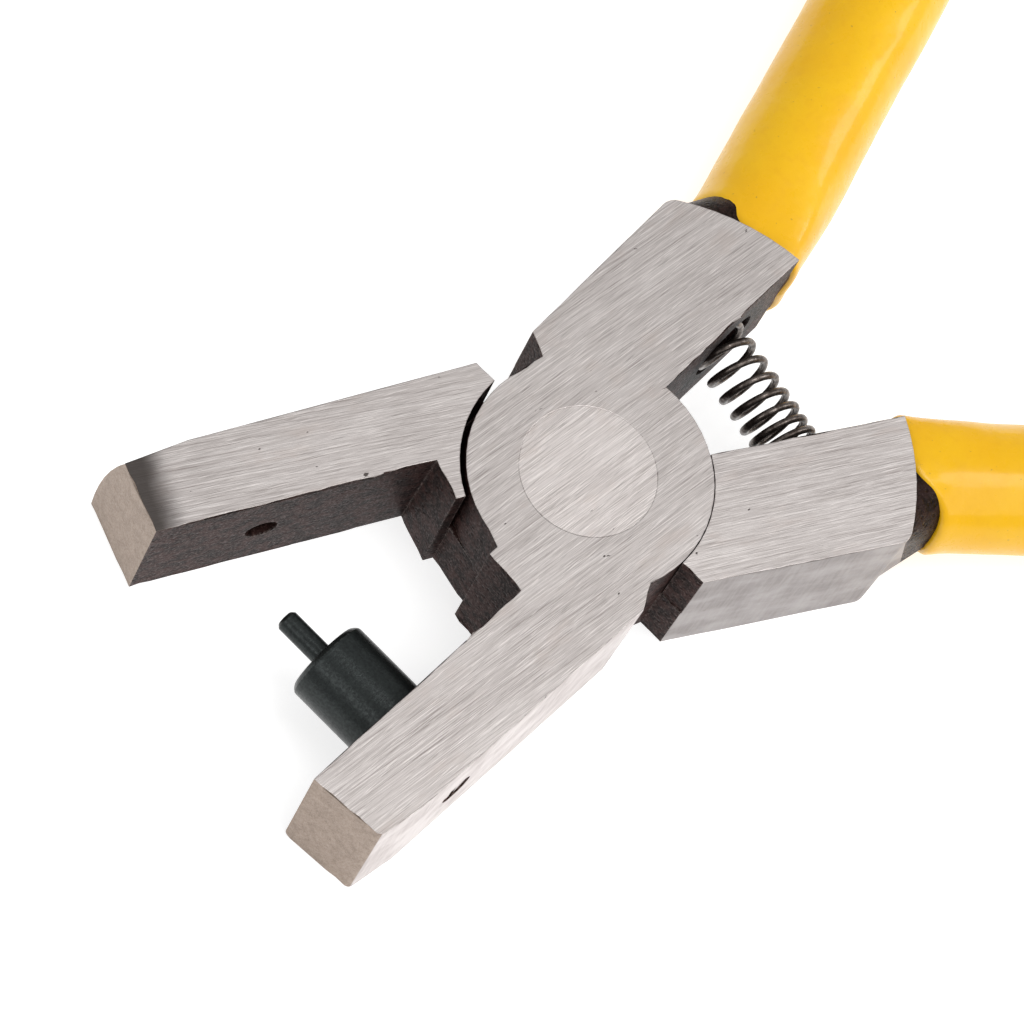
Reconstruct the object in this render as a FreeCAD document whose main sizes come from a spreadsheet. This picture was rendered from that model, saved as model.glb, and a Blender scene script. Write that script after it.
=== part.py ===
import FreeCAD, Part
import math
import os
import Sketcher

# Spring-opened lap-joint setter pliers, lying flat on their back face.
# Z is the pivot axis, Z = 0 is the back face, +X runs from the handles to the jaws.
# Both levers are one forging: the second is the first turned over about X.
# Each lever is drawn in its closed position and its Placement opens it.

os.makedirs("parts", exist_ok=True)
doc = FreeCAD.newDocument("SetterPliers")
V = FreeCAD.Vector

# ---------------------------------------------------------------- dimensions
DIMS = [
    # whole tool
    ("thick", 11.2, "thickness across the two ground faces"),
    ("half_open", 12.85, "angle of each jaw from the centre line at rest"),
    ("lap_gap", 0.02, "half of the gap between the two lapped hub faces"),
    # hub
    ("hub_jaw_rad", 8.75, "hub radius where the other jaw turns round it"),
    ("hub_grip_rad", 9.12, "hub radius where the other shoulder turns round it"),
    ("recess_rad", 9.2, "concave radius that clears the other hub"),
    ("guard_from", 8.0, "angle where the larger hub radius starts"),
    ("guard_to", 236.0, "angle where the larger hub radius ends"),
    ("relief_near", 64.0, "angle of the oblique cut at the outer corners"),
    ("relief_far", 98.0, "angle where that cut has left the lever"),
    ("relief_rad", 13.0, "outer radius of that cut"),
    # rivet
    ("rivet_head_rad", 5.0, "rivet radius at the ground faces"),
    ("rivet_rad", 3.0, "rivet shank radius"),
    ("rivet_cone_z", 9.4, "height where the shank meets the front countersink"),
    ("rivet_back_z", 1.8, "height where the shank meets the back countersink"),
    ("run_rad", 3.04, "hole radius in the lever that turns on the rivet"),
    ("run_head_rad", 5.04, "countersink radius in that lever"),
    ("run_cone_z", 9.36, "height of the cone's foot in that lever, as drawn"),
    # jaws, measured from the pivot
    ("ear_foot_x", 8.6, "foot of the small ear between hub and tooth"),
    ("ear_foot_y", -1.6, "foot of the small ear between hub and tooth"),
    ("ear_x", 9.1, "point of that ear, at the inner end of the tooth face"),
    ("punch_tooth_y", -0.35, "tooth face of the punch lever"),
    ("die_tooth_y", 0.5, "tooth face of the die lever, 0.15 short of meeting it"),
    ("tooth_x", 9.9, "outer end of the tooth face"),
    ("heel_x", 10.2, "foot of the recessed jaw face"),
    ("punch_face_y", 3.0, "recessed inner face of the punch jaw"),
    ("die_face_y", 3.6, "recessed inner face of the die jaw"),
    ("punch_tip_in_x", 30.74, "inner corner of the punch jaw's tip"),
    ("punch_tip_in_y", 3.0, "inner corner of the punch jaw's tip"),
    ("die_tip_in_x", 30.85, "inner corner of the die jaw's tip"),
    ("die_tip_in_y", 3.6, "inner corner of the die jaw's tip"),
    ("punch_reach", 30.25, "outer corner of the punch jaw's tip"),
    ("die_reach", 31.3, "outer corner of the die jaw's tip"),
    ("tip_top_x", 31.54, "point of the die jaw's tip line above its draft"),
    ("tip_top_y", 11.8, "point of the die jaw's tip line above its draft"),
    ("trim_x", 33.0, "outer bound of the cut that trims the die jaw's tip"),
    ("punch_tip_y", 8.83, "outer edge of the punch jaw at its tip"),
    ("die_tip_y", 8.95, "outer edge of the die jaw at its tip"),
    ("taper_x", 26.5, "where the outer edge starts to fall to the tip"),
    ("punch_taper_y", 9.35, "outer edge of the punch jaw there"),
    ("die_taper_y", 9.5, "outer edge of the die jaw there"),
    ("corner_x", 4.7, "outer corner beside the hub"),
    ("punch_corner_y", 9.75, "outer corner of the punch jaw"),
    ("die_corner_y", 9.9, "outer corner of the die jaw"),
    ("draft_from_x", 5.2, "start of the die jaw's drafted outer side"),
    ("draft_in_y", 8.9, "start of that draft at the jaw's front edge"),
    ("draft_back_y", 10.9, "end of that draft at the back edge"),
    ("draft_bow", 28.6, "radius of the draft's rounded profile"),
    ("face_back_y", 4.15, "die jaw's inner face at the back edge"),
    ("nick_x", 2.9, "bottom of the nick beside the jaw corner"),
    ("nick_y", 8.75, "bottom of the nick beside the jaw corner"),
    ("tip_round", 0.5, "rounding of the tip's outer corner"),
    ("jaw_round", 0.7, "rounding of the punch jaw's inner back edge"),
    # shoulders
    ("waist_x", -8.6, "inner shoulder face at the hub"),
    ("punch_waist_y", -0.75, "inner shoulder face of the punch lever at the hub"),
    ("die_waist_y", -1.05, "inner shoulder face of the die lever at the hub"),
    ("step_x", -10.3, "end of the step in the inner shoulder face"),
    ("step_root_x", -8.0, "start of that step, inside the hub recess"),
    ("step_y", -2.6, "bottom of that step"),
    ("end_in_x", -24.3, "inner end of the ground shoulder"),
    ("punch_end_in_y", -1.15, "inner end of the punch lever's shoulder"),
    ("die_end_in_y", -1.95, "inner end of the die lever's shoulder"),
    ("punch_end_out_x", -20.4, "outer end of the punch lever's shoulder"),
    ("punch_end_out_y", -10.85, "outer end of the punch lever's shoulder"),
    ("die_end_out_x", -20.8, "outer end of the die lever's shoulder"),
    ("die_end_out_y", -11.15, "outer end of the die lever's shoulder"),
    ("end_bow", 18.0, "radius of the curved shoulder end"),
    ("shoulder_x", -4.8, "outer shoulder corner beside the hub"),
    ("shoulder_y", -10.05, "outer shoulder corner beside the hub"),
    ("notch_x", -3.95, "bottom of the notch beside that corner"),
    ("notch_y", -8.25, "bottom of the notch beside that corner"),
    ("flat_x", -1.0, "end of the short flat between notch and hub"),
    ("flat_y", -8.7, "end of the short flat between notch and hub"),
    ("end_round", 1.3, "rounding of the shoulder's outer end"),
    # punch
    ("punch_axis_x", 21.7, "punch axis from the pivot"),
    ("holder_rad", 3.15, "radius of the punch holder"),
    ("holder_face_rad", 2.8, "radius of its working face, inside the chamfer"),
    ("holder_end_y", -3.5, "working face of the punch holder"),
    ("holder_edge_y", -3.15, "inner end of the holder's chamfer"),
    ("shank_rad", 2.0, "radius of the holder's shank"),
    ("shank_top_y", 6.6, "end of the shank in the jaw"),
    ("pin_rad", 0.82, "radius of the punch pin"),
    ("pin_tip_y", -7.3, "free end of the punch pin"),
    ("pin_seat_y", 1.2, "end of the pin inside the holder"),
    ("pin_face_rad", 0.6, "radius of the pin's flat tip"),
    ("pin_edge_y", -7.05, "inner end of the pin's chamfer"),
    ("screw_rad", 1.3, "radius of the retaining screw"),
    ("screw_in_y", 4.0, "inner end of the retaining screw"),
    ("screw_out_y", 9.3, "slotted end of the screw, below the jaw's outer face"),
    ("bore_in_y", 2.5, "start of the jaw bore, clear of the jaw face"),
    ("bore_out_y", 12.0, "end of the jaw bore, clear of the outer face"),
    ("slot_wide", 0.5, "screw slot width"),
    ("slot_deep", 0.7, "screw slot depth"),
    # die
    ("die_axis_x", 22.1, "die hole axis from the pivot"),
    ("die_rad", 1.2, "die hole radius"),
    # spring and its two drilled seats
    ("seat_x", -17.96, "spring seat axis in each lever"),
    ("seat_rad", 2.9, "spring seat radius"),
    ("seat_deep_y", -3.5, "bottom of the spring seat"),
    ("seat_top_y", 0.5, "start of the drilled seat, clear of the shoulder face"),
    ("spring_x", -17.0, "spring axis at rest"),
    ("spring_mean_rad", 2.05, "coil centre-line radius"),
    ("wire_rad", 0.29, "spring wire radius"),
    ("spring_span", 13.3, "height of the coil centre line at rest"),
    ("coil_pitch", 1.25, "coil pitch at rest"),
    # handles
    ("mouth_x", -26.3, "centre of the grip's mouth"),
    ("mouth_y", -5.85, "centre of the grip's mouth"),
    ("splay", 17.0, "angle of the straight part of the handle"),
    ("straight_len", 33.0, "length of the straight part"),
    ("bow_rad", 168.0, "radius of the bowed part"),
    ("splay_end", -2.0, "angle of the handle at its end"),
    ("grip_rad", 4.75, "outer radius of the dipped grip"),
    ("tang_rad", 3.2, "radius of the tang inside the grip"),
    ("root_wide", 3.6, "half width of the tang at the shoulder"),
    ("root_deep", 5.55, "half depth of the tang at the shoulder"),
    ("root_round", 1.0, "corner radius of the tang at the shoulder"),
    ("root_x", -19.5, "start of the tang inside the shoulder"),
    ("root_y", -7.2, "start of the tang inside the shoulder"),
    ("mouth_wide", 4.1, "half width of the tang in the grip's mouth"),
    ("mouth_deep", 4.1, "half depth of the tang in the grip's mouth"),
    ("mouth_round", 3.4, "corner radius of the tang in the grip's mouth"),
    ("neck_wide", 3.2, "half width of the tang where it stops narrowing"),
    ("neck_round", 2.6, "corner radius of the tang there"),
    ("blend_len", 11.0, "length over which the tang narrows"),
]
sheet = doc.addObject("Spreadsheet::Sheet", "Dims")
size = {}
for row, (alias, value, meaning) in enumerate(DIMS, start=1):
    sheet.set("A%d" % row, str(value))
    sheet.setAlias("A%d" % row, alias)
    sheet.set("B%d" % row, "'" + meaning)
    size[alias] = value
doc.recompute()


# ------------------------------------------------------------------- helpers
def plane(body, role):
    return [f for f in body.Origin.OriginFeatures if f.Role == role][0]


def new_body(name):
    return doc.addObject("PartDesign::Body", name)


def new_sketch(body, name, role="XY_Plane", offset=None):
    sk = body.newObject("Sketcher::SketchObject", name)
    sk.AttachmentSupport = [(plane(body, role), "")]
    sk.MapMode = "FlatFace"
    for axis, expression in (offset or {}).items():
        sk.setExpression(".AttachmentOffset.Base." + axis, expression)
    doc.recompute()
    return sk


def pin_point(sk, geo, pos, x_cell, y_cell):
    """Hold a sketch point at the two named cells, or on an axis for 0."""
    for kind, axis, cell in (("DistanceX", -2, x_cell), ("DistanceY", -1, y_cell)):
        if cell == 0:
            sk.addConstraint(Sketcher.Constraint("PointOnObject", geo, pos, axis))
        else:
            index = sk.addConstraint(Sketcher.Constraint(kind, -1, 1, geo, pos, size[cell]))
            sk.setExpression("Constraints[%d]" % index, "Dims." + cell)


def closed_outline(sk, corners, bows=None):
    """Closed loop through named corners; bows gives a radius cell to some sides."""
    bows = bows or {}
    value = [[size[c] if isinstance(c, str) else c for c in xy] for xy in corners]
    count = len(corners)
    for i in range(count):
        a = V(value[i][0], value[i][1], 0)
        b = V(value[(i + 1) % count][0], value[(i + 1) % count][1], 0)
        if i in bows:
            radius = size[bows[i]]
            half = (b - a) / 2
            side = V(half.y, -half.x, 0).normalize()
            centre = a + half - side * math.sqrt(radius ** 2 - half.Length ** 2)
            circle = Part.Circle(centre, V(0, 0, 1), radius)
            start = math.atan2(a.y - centre.y, a.x - centre.x)
            end = math.atan2(b.y - centre.y, b.x - centre.x)
            sk.addGeometry(Part.ArcOfCircle(circle, start, end), False)
        else:
            sk.addGeometry(Part.LineSegment(a, b), False)
    for i in range(count):
        sk.addConstraint(Sketcher.Constraint("Coincident", i, 2, (i + 1) % count, 1))
        pin_point(sk, i, 1, *corners[i])
    for i, cell in bows.items():
        index = sk.addConstraint(Sketcher.Constraint("Radius", i, size[cell]))
        sk.setExpression("Constraints[%d]" % index, "Dims." + cell)


def pad(body, name, sk, length):
    feature = body.newObject("PartDesign::Pad", name)
    feature.Profile = sk
    feature.setExpression("Length", length)
    doc.recompute()
    return feature


def pocket(body, name, sk, length):
    """Cuts a sketch away along its own plane's normal."""
    before = body.Shape.Volume
    cut = body.newObject("PartDesign::Pocket", name)
    cut.Profile = sk
    cut.Reversed = True
    cut.setExpression("Length", length)
    doc.recompute()
    if not body.Shape.Volume < before:
        raise RuntimeError(name + " removes nothing")


def lap_cut(body, name, sk):
    """Cuts a sketch through the lower half of the thickness, up to the lap."""
    pocket(body, name, sk, "Dims.thick / 2 + Dims.lap_gap")


def turned_cut(body, name, sk):
    """Groove turned once about the sketch's own vertical axis."""
    before = body.Shape.Volume
    feature = body.newObject("PartDesign::Groove", name)
    feature.Profile = sk
    feature.ReferenceAxis = (sk, ["V_Axis"])
    feature.Angle = 360
    doc.recompute()
    if not body.Shape.Volume < before - 1:
        raise RuntimeError(name + " removes nothing")
    return feature


def stepped_profile(sk, steps):
    """Half section of a stepped bore: steps are (radius cell, from, to) along the axis."""
    corners = [(0, steps[0][1])]
    for radius, low, high in steps:
        corners.append((radius, low))
        corners.append((radius, high))
    corners.append((0, steps[-1][2]))
    closed_outline(sk, corners)


def edges_between(shape, start, end):
    """Names of the edges that run between two points."""
    names = []
    for i, edge in enumerate(shape.Edges, start=1):
        ends = [v.Point for v in edge.Vertexes]
        if len(ends) == 2 and all(min(p.distanceToPoint(q) for p in ends) < 0.01 for q in (start, end)):
            names.append("Edge%d" % i)
    return names


# -------------------------------------------------------------- lever forging
def forging(tag, rivet_bore, bore_x, bore_steps, drafted=False, stepped=False):
    body = new_body(tag + "_forging")

    sk = new_sketch(body, tag + "_outline")
    closed_outline(sk, [
        ("ear_foot_x", "ear_foot_y"),
        ("ear_x", tag + "_tooth_y"),
        ("tooth_x", tag + "_tooth_y"),
        ("heel_x", tag + "_face_y"),
        (tag + "_tip_in_x", tag + "_tip_in_y"),
        (tag + "_reach", tag + "_tip_y"),
        ("taper_x", tag + "_taper_y"),
        ("corner_x", tag + "_corner_y"),
        ("nick_x", "nick_y"),
        ("waist_x", tag + "_waist_y"),
        ("end_in_x", tag + "_end_in_y"),
        (tag + "_end_out_x", tag + "_end_out_y"),
        ("shoulder_x", "shoulder_y"),
        ("notch_x", "notch_y"),
        ("flat_x", "flat_y"),
    ], bows={10: "end_bow"})
    pad(body, tag + "_blank", sk, "Dims.thick")

    end = (tag + "_end_out_x", tag + "_end_out_y")
    tip_out = (tag + "_reach", tag + "_tip_y")
    tip_in = (tag + "_tip_in_x", tag + "_tip_in_y")
    corners = [("_end_round", end, 0, end, size["thick"], "Dims.end_round")]
    if not drafted:
        corners.append(("_tip_round", tip_out, 0, tip_out, size["thick"], "Dims.tip_round"))
        corners.append(("_jaw_round", ("heel_x", tag + "_face_y"), 0, tip_in, 0, "Dims.jaw_round"))
    for name, start, low, stop, high, radius in corners:
        base = body.Tip
        edges = edges_between(base.Shape, V(size[start[0]], size[start[1]], low),
                              V(size[stop[0]], size[stop[1]], high))
        rounded = body.newObject("PartDesign::Fillet", tag + name)
        rounded.Base = (base, edges)
        rounded.setExpression("Radius", radius)
        doc.recompute()

    # Forging draft on the outer side of the jaw, up to its tip.
    if drafted:
        sk = new_sketch(body, tag + "_draft_profile", role="YZ_Plane", offset={"z": "Dims.draft_from_x"})
        closed_outline(sk, [
            ("draft_in_y", 0),
            ("draft_back_y", "thick"),
            ("draft_in_y", "thick"),
        ], bows={0: "draft_bow"})
        pad(body, tag + "_draft", sk, "Dims.tip_top_x - Dims.draft_from_x")
        sk = new_sketch(body, tag + "_tip_outline")
        closed_outline(sk, [tip_in, ("tip_top_x", "tip_top_y"), ("trim_x", "tip_top_y"),
                            ("trim_x", tip_in[1])])
        pocket(body, tag + "_tip_trim", sk, "Dims.thick")

        # The inner face leans away towards the back in the same way.
        sk = new_sketch(body, tag + "_face_profile", role="YZ_Plane", offset={"z": "Dims.heel_x"})
        closed_outline(sk, [
            (tag + "_face_y", 0),
            ("face_back_y", "thick"),
            (tag + "_tooth_y", "thick"),
            (tag + "_tooth_y", 0),
        ])
        pocket(body, tag + "_face_draft", sk, "Dims.%s_reach - Dims.heel_x" % tag)

    # Hub, in the upper half of the thickness.
    sk = new_sketch(body, tag + "_hub_circle", offset={"z": "Dims.thick / 2"})
    sk.addGeometry(Part.Circle(V(0, 0, 0), V(0, 0, 1), size["hub_jaw_rad"]), False)
    sk.addConstraint(Sketcher.Constraint("Coincident", 0, 3, -1, 1))
    index = sk.addConstraint(Sketcher.Constraint("Radius", 0, size["hub_jaw_rad"]))
    sk.setExpression("Constraints[%d]" % index, "Dims.hub_jaw_rad")
    pad(body, tag + "_hub", sk, "Dims.thick / 2")

    # The hub is a little larger on the side where the other shoulder turns.
    sk = new_sketch(body, tag + "_guard_sector", offset={"z": "Dims.thick / 2"})
    low = math.radians(size["guard_from"])
    high = math.radians(size["guard_to"])
    rad = size["hub_grip_rad"]
    circle = Part.Circle(V(0, 0, 0), V(0, 0, 1), rad)
    sk.addGeometry(Part.ArcOfCircle(circle, low, high), False)
    sk.addGeometry(Part.LineSegment(V(0, 0, 0), V(rad * math.cos(low), rad * math.sin(low), 0)), False)
    sk.addGeometry(Part.LineSegment(V(0, 0, 0), V(rad * math.cos(high), rad * math.sin(high), 0)), False)
    sk.addConstraint(Sketcher.Constraint("Coincident", 0, 3, -1, 1))
    sk.addConstraint(Sketcher.Constraint("Coincident", 1, 1, -1, 1))
    sk.addConstraint(Sketcher.Constraint("Coincident", 1, 2, 0, 1))
    sk.addConstraint(Sketcher.Constraint("Coincident", 2, 2, 0, 2))
    sk.addConstraint(Sketcher.Constraint("Coincident", 2, 1, -1, 1))
    index = sk.addConstraint(Sketcher.Constraint("Radius", 0, rad))
    sk.setExpression("Constraints[%d]" % index, "Dims.hub_grip_rad")
    pad(body, tag + "_guard", sk, "Dims.thick / 2")

    # Recess in the lower half for the other lever's hub.
    sk = new_sketch(body, tag + "_recess_circle")
    sk.addGeometry(Part.Circle(V(0, 0, 0), V(0, 0, 1), size["recess_rad"]), False)
    sk.addConstraint(Sketcher.Constraint("Coincident", 0, 3, -1, 1))
    index = sk.addConstraint(Sketcher.Constraint("Radius", 0, size["recess_rad"]))
    sk.setExpression("Constraints[%d]" % index, "Dims.recess_rad")
    lap_cut(body, tag + "_recess", sk)

    # Oblique cuts that open the recess past both outer corners.
    sk = new_sketch(body, tag + "_relief_wedges")
    near = math.radians(size["relief_near"])
    far = math.radians(size["relief_far"])
    out = size["relief_rad"]
    for half_turn in (0, math.pi):
        first = V(out * math.cos(near + half_turn), out * math.sin(near + half_turn), 0)
        second = V(out * math.cos(far + half_turn), out * math.sin(far + half_turn), 0)
        base = len(sk.Geometry)
        sk.addGeometry(Part.LineSegment(V(0, 0, 0), first), False)
        sk.addGeometry(Part.LineSegment(first, second), False)
        sk.addGeometry(Part.LineSegment(second, V(0, 0, 0)), False)
        sk.addConstraint(Sketcher.Constraint("Coincident", base, 1, -1, 1))
        sk.addConstraint(Sketcher.Constraint("Coincident", base, 2, base + 1, 1))
        sk.addConstraint(Sketcher.Constraint("Coincident", base + 1, 2, base + 2, 1))
        sk.addConstraint(Sketcher.Constraint("Coincident", base + 2, 2, -1, 1))
        for geo in (base, base + 2):
            index = sk.addConstraint(Sketcher.Constraint("Distance", geo, out))
            sk.setExpression("Constraints[%d]" % index, "Dims.relief_rad")
    lap_cut(body, tag + "_relief", sk)

    # Step in the inner shoulder face, next to the hub.
    if stepped:
        sk = new_sketch(body, tag + "_step_outline")
        closed_outline(sk, [
            ("step_x", "step_y"),
            ("step_root_x", "step_y"),
            ("step_root_x", "seat_top_y"),
            ("step_x", "seat_top_y"),
        ])
        lap_cut(body, tag + "_step", sk)

    # Countersunk rivet hole.
    sk = new_sketch(body, tag + "_rivet_profile", role="XZ_Plane")
    closed_outline(sk, [(0, 0)] + rivet_bore + [(0, "thick")])
    turned_cut(body, tag + "_rivet_hole", sk)

    # Bore across the jaw and drilled spring seat, both at mid thickness.
    sk = new_sketch(body, tag + "_jaw_profile", offset={"x": "Dims." + bore_x, "z": "Dims.thick / 2"})
    stepped_profile(sk, bore_steps)
    turned_cut(body, tag + "_jaw_bore", sk)
    sk = new_sketch(body, tag + "_seat_profile", offset={"x": "Dims.seat_x", "z": "Dims.thick / 2"})
    stepped_profile(sk, [("seat_rad", "seat_deep_y", "seat_top_y")])
    turned_cut(body, tag + "_spring_seat", sk)
    return body


# ---------------------------------------------------------------- handle bars
END_X = ("Dims.mouth_x - Dims.straight_len * cos(Dims.splay)"
         " - Dims.bow_rad * (sin(Dims.splay) - sin(Dims.splay_end))")
END_Y = ("Dims.mouth_y - Dims.straight_len * sin(Dims.splay)"
         " - Dims.bow_rad * (cos(Dims.splay_end) - cos(Dims.splay))")


def handle_path(tag):
    """Centre line of a handle: a straight run, then a bow that turns it back."""
    sk = doc.addObject("Sketcher::SketchObject", tag + "_path")
    sk.setExpression("Placement.Base.z", "Dims.thick / 2")
    near = math.radians(size["splay"])
    far = math.radians(size["splay_end"])
    rad = size["bow_rad"]
    mouth = V(size["mouth_x"], size["mouth_y"], 0)
    bend = mouth - V(math.cos(near), math.sin(near), 0) * size["straight_len"]
    centre = bend + V(-math.sin(near), math.cos(near), 0) * rad
    sk.addGeometry(Part.LineSegment(mouth, bend), False)
    circle = Part.Circle(centre, V(0, 0, 1), rad)
    sk.addGeometry(Part.ArcOfCircle(circle, far - math.pi / 2, near - math.pi / 2), False)
    pin_point(sk, 0, 1, "mouth_x", "mouth_y")
    sk.addConstraint(Sketcher.Constraint("Tangent", 0, 2, 1, 2))
    for kind, geo, value, text in [
        ("Distance", 0, size["straight_len"], "Dims.straight_len"),
        ("Angle", 0, near - math.pi, "(Dims.splay - 180) * 1 deg"),
        ("Radius", 1, rad, "Dims.bow_rad"),
    ]:
        index = sk.addConstraint(Sketcher.Constraint(kind, geo, value))
        sk.setExpression("Constraints[%d]" % index, text)
    doc.recompute()
    return sk


def section(name, radius, x_text, y_text, turn_text):
    """Circle across the handle's centre line."""
    ring = doc.addObject("Part::Circle", name)
    ring.setExpression("Radius", radius)
    ring.setExpression("Placement", (
        "placement(vector(%s; %s; Dims.thick / 2);"
        " rotation(vector(0; 0; 1); 180 + %s) * rotation(vector(0; 1; 0); 90))"
    ) % (x_text, y_text, turn_text))
    return ring


def rounded_section(name, wide, deep, corner, x_text, y_text, turn_text):
    """Rounded rectangle across the handle's centre line: deep along Z, wide across it."""
    sk = doc.addObject("Sketcher::SketchObject", name)
    half_deep = size[deep]
    half_wide = size[wide]
    rad = size[corner]
    flat_deep = half_deep - rad
    flat_wide = half_wide - rad
    quarter = math.pi / 2
    sides = [
        (V(half_deep, -flat_wide, 0), V(half_deep, flat_wide, 0), V(flat_deep, flat_wide, 0), 0),
        (V(flat_deep, half_wide, 0), V(-flat_deep, half_wide, 0), V(-flat_deep, flat_wide, 0), 1),
        (V(-half_deep, flat_wide, 0), V(-half_deep, -flat_wide, 0), V(-flat_deep, -flat_wide, 0), 2),
        (V(-flat_deep, -half_wide, 0), V(flat_deep, -half_wide, 0), V(flat_deep, -flat_wide, 0), 3),
    ]
    for start, end, centre, turn in sides:
        sk.addGeometry(Part.LineSegment(start, end), False)
        circle = Part.Circle(centre, V(0, 0, 1), rad)
        sk.addGeometry(Part.ArcOfCircle(circle, turn * quarter, (turn + 1) * quarter), False)
    for i in range(8):
        line_to_arc = i % 2 == 0
        sk.addConstraint(Sketcher.Constraint("Tangent", i, 2, (i + 1) % 8, 1))
        if line_to_arc:
            kind = "Vertical" if i % 4 == 0 else "Horizontal"
            sk.addConstraint(Sketcher.Constraint(kind, i))
    for geo, kind, value, text in [
        (0, "DistanceX", half_deep, "Dims." + deep),
        (4, "DistanceX", -half_deep, "-Dims." + deep),
        (2, "DistanceY", half_wide, "Dims." + wide),
        (6, "DistanceY", -half_wide, "-Dims." + wide),
    ]:
        index = sk.addConstraint(Sketcher.Constraint(kind, -1, 1, geo, 1, value))
        sk.setExpression("Constraints[%d]" % index, text)
    for geo in (1, 3, 5, 7):
        index = sk.addConstraint(Sketcher.Constraint("Radius", geo, rad))
        sk.setExpression("Constraints[%d]" % index, "Dims." + corner)
    sk.setExpression("Placement", (
        "placement(vector(%s; %s; Dims.thick / 2);"
        " rotation(vector(0; 0; 1); 180 + %s) * rotation(vector(0; 1; 0); 90))"
    ) % (x_text, y_text, turn_text))
    return sk


def round_end(name, radius):
    ball = doc.addObject("Part::Sphere", name)
    ball.setExpression("Radius", radius)
    ball.setExpression("Placement.Base.x", END_X)
    ball.setExpression("Placement.Base.y", END_Y)
    ball.setExpression("Placement.Base.z", "Dims.thick / 2")
    return ball


def swept(name, ring, path):
    sweep = doc.addObject("Part::Sweep", name)
    sweep.Sections = [ring]
    sweep.Spine = (path, ["Edge1", "Edge2"])
    sweep.Solid = True
    return sweep


def joined(name, shapes):
    fuse = doc.addObject("Part::MultiFuse", name)
    fuse.Shapes = shapes
    return fuse


def handle_bar(tag, path):
    """Black tang: narrows from the shoulder into the grip, then runs to its end."""
    root = rounded_section(
        tag + "_root", "root_wide", "root_deep", "root_round", "Dims.root_x", "Dims.root_y", "0")
    mouth = rounded_section(
        tag + "_mouth", "mouth_wide", "mouth_deep", "mouth_round",
        "Dims.mouth_x", "Dims.mouth_y", "Dims.splay")
    neck = rounded_section(
        tag + "_neck", "neck_wide", "neck_wide", "neck_round",
        "Dims.mouth_x - Dims.blend_len * cos(Dims.splay)",
        "Dims.mouth_y - Dims.blend_len * sin(Dims.splay)",
        "Dims.splay")
    taper = doc.addObject("Part::Loft", tag + "_taper")
    taper.Sections = [root, mouth, neck]
    taper.Solid = True
    taper.Ruled = True
    core = section(tag + "_core", "Dims.tang_rad", "Dims.mouth_x", "Dims.mouth_y", "Dims.splay")
    run = swept(tag + "_run", core, path)
    return joined(tag + "_bar", [taper, run, round_end(tag + "_bar_end", "Dims.tang_rad")])


def grip_skin(tag, path):
    ring = section(tag + "_grip_ring", "Dims.grip_rad", "Dims.mouth_x", "Dims.mouth_y", "Dims.splay")
    skin = swept(tag + "_grip_run", ring, path)
    return joined(tag + "_grip_skin", [skin, round_end(tag + "_grip_end", "Dims.grip_rad")])


def turned_solid(label, offset, corners, role="XY_Plane"):
    """Solid of revolution about the sketch's own vertical axis."""
    body = new_body(label)
    sk = new_sketch(body, label + "_profile", role=role, offset=offset)
    closed_outline(sk, corners)
    feature = body.newObject("PartDesign::Revolution", label + "_turned")
    feature.Profile = sk
    feature.ReferenceAxis = (sk, ["V_Axis"])
    feature.Angle = 360
    doc.recompute()
    return body


def piece(label, obj, pose=None):
    obj.Label = label
    if pose:
        obj.setExpression("Placement", pose)
    pieces.append(obj)
    return obj


# --------------------------------------------------------------------- pieces
OPEN_PUNCH = "placement(vector(0; 0; 0); rotation(vector(0; 0; 1); Dims.half_open))"
OPEN_DIE = ("placement(vector(0; 0; Dims.thick);"
            " rotation(vector(0; 0; 1); -Dims.half_open) * rotation(vector(1; 0; 0); 180))")
pieces = []

# Both levers, each with its tang and its dipped grip.
punch_forging = forging(
    "punch",
    [("rivet_rad", 0), ("rivet_rad", "rivet_cone_z"), ("rivet_head_rad", "thick")],
    "punch_axis_x",
    [("shank_rad", "bore_in_y", "shank_top_y"), ("screw_rad", "shank_top_y", "bore_out_y")],
    stepped=True,
)
die_forging = forging(
    "die",
    [("run_rad", 0), ("run_rad", "run_cone_z"), ("run_head_rad", "thick")],
    "die_axis_x",
    [("die_rad", "bore_in_y", "bore_out_y")],
    drafted=True,
)
for tag, base, grip_label, pose in [
    ("punch", punch_forging, "punch_grip", OPEN_PUNCH),
    ("die", die_forging, "die_grip", OPEN_DIE),
]:
    path = handle_path(tag)
    bar = handle_bar(tag, path)
    lever = doc.addObject("Part::Fuse", tag + "_lever_joined")
    lever.Base = base
    lever.Tool = bar
    piece(tag + "_lever", lever, pose)
    grip = doc.addObject("Part::Cut", tag + "_grip_cut")
    grip.Base = grip_skin(tag, path)
    grip.Tool = bar
    piece(grip_label, grip, pose)

# Countersunk pivot rivet, ground flush with both faces.
piece("pivot_rivet", turned_solid("rivet", None, [
    (0, 0),
    ("rivet_head_rad", 0),
    ("rivet_rad", "rivet_back_z"),
    ("rivet_rad", "rivet_cone_z"),
    ("rivet_head_rad", "thick"),
    (0, "thick"),
], role="XZ_Plane"))

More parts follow.
